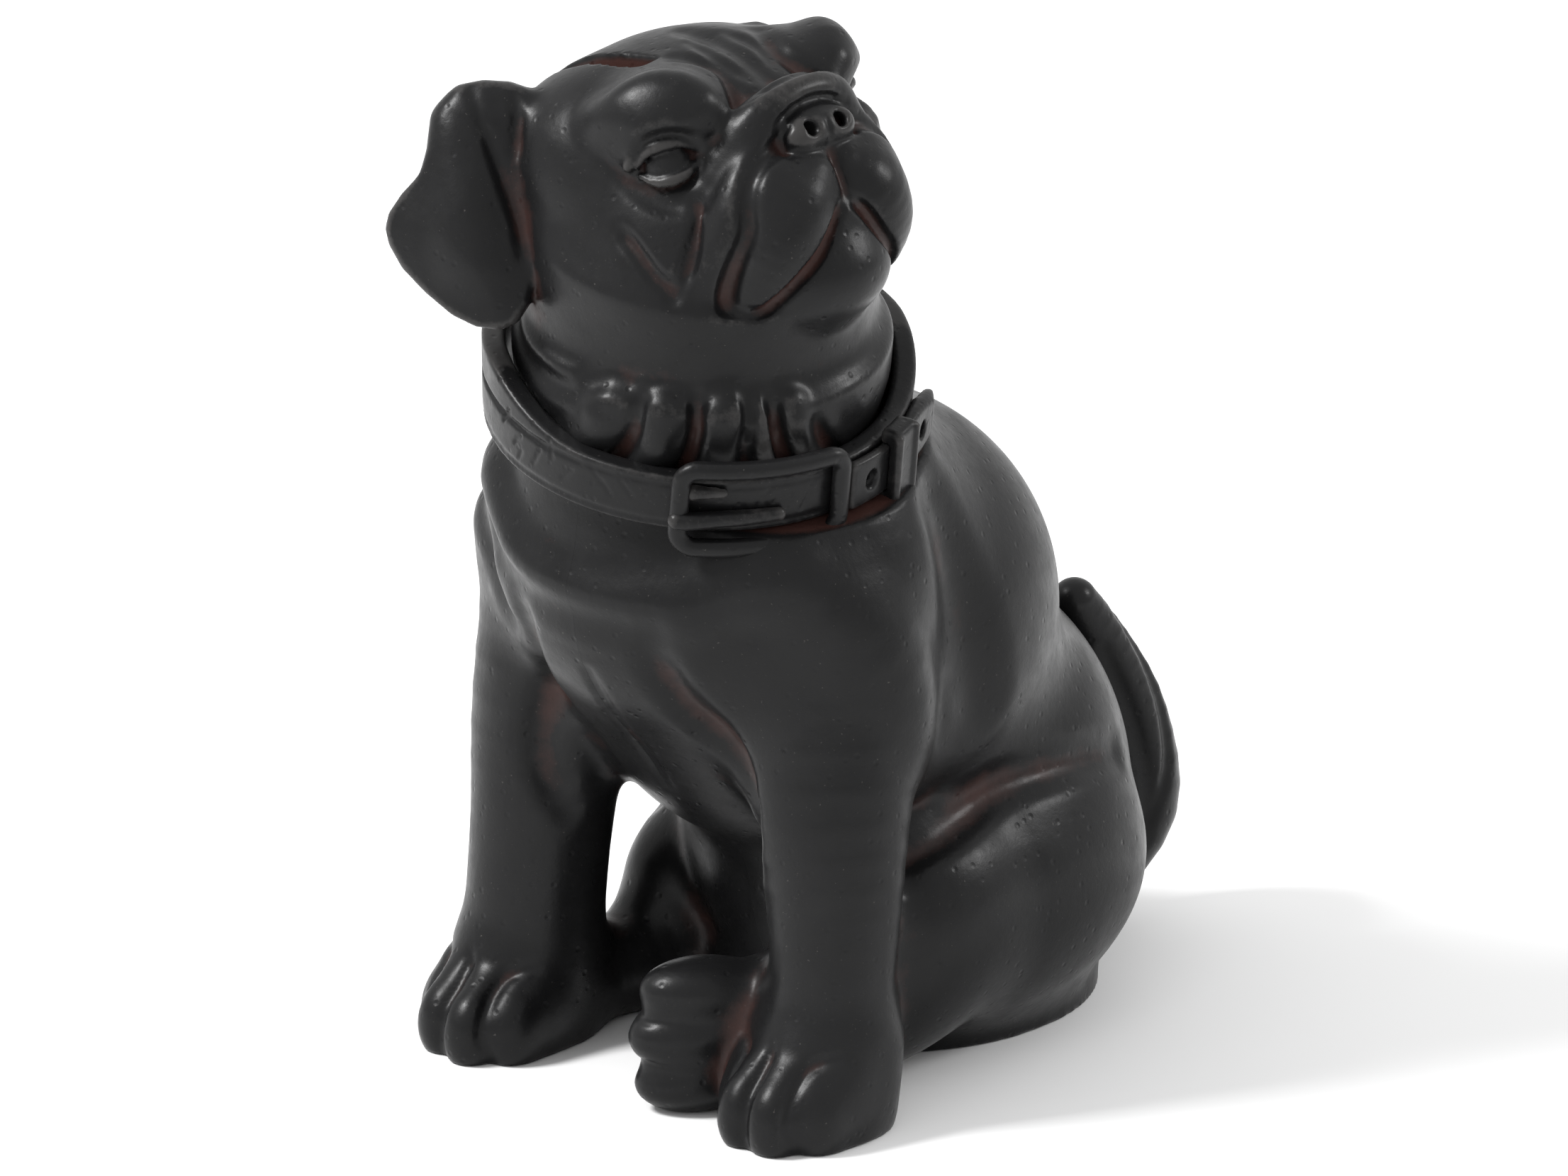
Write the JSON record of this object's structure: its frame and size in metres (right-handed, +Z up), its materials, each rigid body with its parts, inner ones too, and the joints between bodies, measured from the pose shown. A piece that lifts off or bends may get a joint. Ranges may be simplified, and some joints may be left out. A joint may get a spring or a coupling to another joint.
{
  "type": "cast iron still bank",
  "caption": "Hollow cast iron still bank shaped as a seated dog in a buckled collar, with a coin slot in the crown and a swivel trap under the rump.",
  "frame": {"origin": "on the shelf, under the middle of the object's box", "axes": "+Z up, -Y the way the chest faces, +X the dog's left; the parting plane of the body is X = 0"},
  "size_m": [0.102, 0.1698, 0.1994],
  "materials": {
    "cast_black": "satin black paint over a red-brown undercoat",
    "dark_steel": "blackened steel"
  },
  "bodies": {
    "bank": {"body_right": "cast_black", "body_left": "cast_black", "head": "cast_black", "tail": "cast_black", "collar_strap": "cast_black", "collar_tip": "cast_black", "buckle_frame": "cast_black", "buckle_prong": "cast_black", "keeper_loop": "cast_black", "neck_bridge": "dark_steel", "neck_screw": "dark_steel", "clamp_screws": "dark_steel", "locating_pins": "dark_steel", "trap_rivet": "dark_steel", "lock_washer": "dark_steel"},
    "trap_cover": {"trap_cover": "cast_black"},
    "lock_screw": {"lock_screw": "dark_steel"}
  },
  "joints": [
    {"name": "trap_swing", "type": "hinge", "parent": "bank", "child": "trap_cover", "pos_m": [-0.012, 0.01741, 0.008], "axis": [0, 0, -1], "range_deg": [0, 105]},
    {"name": "lock_turn", "type": "hinge", "parent": "bank", "child": "lock_screw", "pos_m": [-0.019, 0.03441, 0.006], "axis": [0, 0, -1], "range_deg": [0, 720]}
  ]
}
